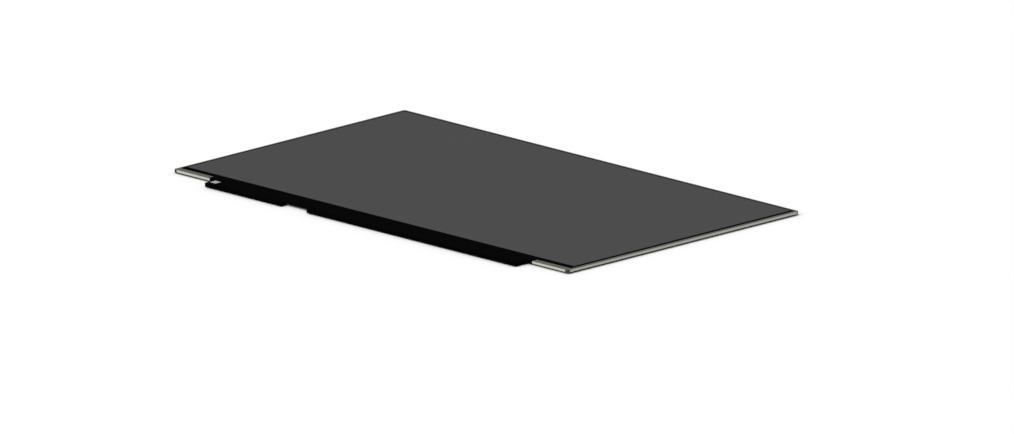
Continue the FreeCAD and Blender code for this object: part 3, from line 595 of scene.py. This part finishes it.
def plate_test_points():
    """Gold-plated discs at both ends of the board, where a tester's pins touch it."""
    low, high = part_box("driver_board")
    row = high.y - TEST_POINT_ROW
    mesh = bmesh.new()
    for number in range(TEST_POINT_COUNT):
        inset = TEST_POINT_INSET + number * TEST_POINT_PITCH
        for across in (low.x + inset, high.x - inset):
            disc = bmesh.ops.create_circle(mesh, cap_ends=True, radius=TEST_POINT_DIAMETER / 2,
                                           segments=TEST_POINT_SEGMENTS,
                                           matrix=Matrix.Translation((across, row, low.z)))["verts"]
            raised = bmesh.ops.extrude_face_region(mesh, geom=[disc[0].link_faces[0]])["geom"]
            moved = [item for item in raised if isinstance(item, bmesh.types.BMVert)]
            bmesh.ops.translate(mesh, verts=moved, vec=(0, 0, -TEST_POINT_RISE))
    # Gold flash on copper discs: warm and bright.
    gold = even_finish("gold_plated_copper", "#D4AE55", "#DDBB66", patch=0.6, grain=0.1,
                       roughness=0.3, level=0.5, metallic=1.0)
    add_piece("board_test_points", mesh, gold)


# Table, light and camera

def seen_rays(tree):
    """1 for the rays that show the surroundings: to the camera, in a mirror and through glass."""
    path = add(tree, "ShaderNodeLightPath").outputs
    seen = add(tree, "ShaderNodeMath", {"operation": "ADD", "use_clamp": True},
               {0: path["Is Camera Ray"], 1: path["Is Glossy Ray"]})
    return add(tree, "ShaderNodeMath", {"operation": "ADD", "use_clamp": True},
               {0: seen.outputs[0], 1: path["Is Transmission Ray"]}).outputs[0]


def lay_floor():
    """A pale matt table that shows white, with the panel's shadow on it."""
    made, tree = new_material("pale_table")
    colour = add(tree, "ShaderNodeMix", {"data_type": "RGBA"},
                 {"Factor": seen_rays(tree), MIX_A: linear("#C8C8C8"), MIX_B: linear("#FFFFFF")})
    pale = add(tree, "ShaderNodeBsdfDiffuse", inputs={"Color": colour.outputs[MIX_RESULT]})
    add(tree, "ShaderNodeOutputMaterial", inputs={"Surface": pale.outputs[0]})
    mesh = bmesh.new()
    bmesh.ops.create_grid(mesh, x_segments=1, y_segments=1, size=FLOOR_REACH,
                          matrix=Matrix.Translation((0, 0, CAD_BOX[0].z - FLOOR_DROP)))
    floor = new_object("floor", mesh, made)


def light_studio():
    """An even surround that shows as white, and one soft key."""
    world = bpy.data.worlds.new("studio")
    world.use_nodes = True
    tree = world.node_tree
    tree.nodes.clear()
    even = add(tree, "ShaderNodeBackground", inputs={"Color": linear("#FFFFFF"), "Strength": SURROUND})
    white = add(tree, "ShaderNodeBackground", inputs={"Color": linear("#FFFFFF"), "Strength": 1.0})
    mixed = add(tree, "ShaderNodeMixShader",
                inputs={"Fac": seen_rays(tree), 1: even.outputs[0], 2: white.outputs[0]})
    add(tree, "ShaderNodeOutputWorld", inputs={"Surface": mixed.outputs[0]})
    bpy.context.scene.world = world
    lamp = bpy.data.lights.new("key", "SUN")
    lamp.energy = KEY_STRENGTH
    lamp.angle = KEY_ANGLE
    key = bpy.data.objects.new("key", lamp)
    key.rotation_mode = "QUATERNION"
    key.rotation_quaternion = KEY_FROM.to_track_quat("Z", "Y")
    bpy.context.scene.collection.objects.link(key)


def place_camera():
    """An orthographic camera at the photograph's angle, scale and framing."""
    level = math.cos(VIEW_RISE)
    back = Vector((math.sin(VIEW_TURN) * level, -math.cos(VIEW_TURN) * level, math.sin(VIEW_RISE)))
    turn = back.to_track_quat("Z", "Y")
    data = bpy.data.cameras.new("camera")
    data.type = "ORTHO"
    data.ortho_scale = PHOTO_WIDTH / PIXELS_PER_MM * MM
    camera = bpy.data.objects.new("camera", data)
    camera.rotation_mode = "QUATERNION"
    camera.rotation_quaternion = turn
    offset = turn @ Vector((FRAME_RIGHT, -FRAME_DOWN, CAMERA_BACK))
    camera.location = Vector((0, 0, CAD_BOX[1].z)) + offset
    bpy.context.scene.collection.objects.link(camera)
    bpy.context.scene.camera = camera


dress_case()
dress_cell()
dress_backlight()
dress_drivers()
dress_socket()
dress_packages()
lay_earthing_pad()
solder_lands()
plate_test_points()
lay_floor()
light_studio()
place_camera()
bpy.context.scene.view_settings.view_transform = "Standard"
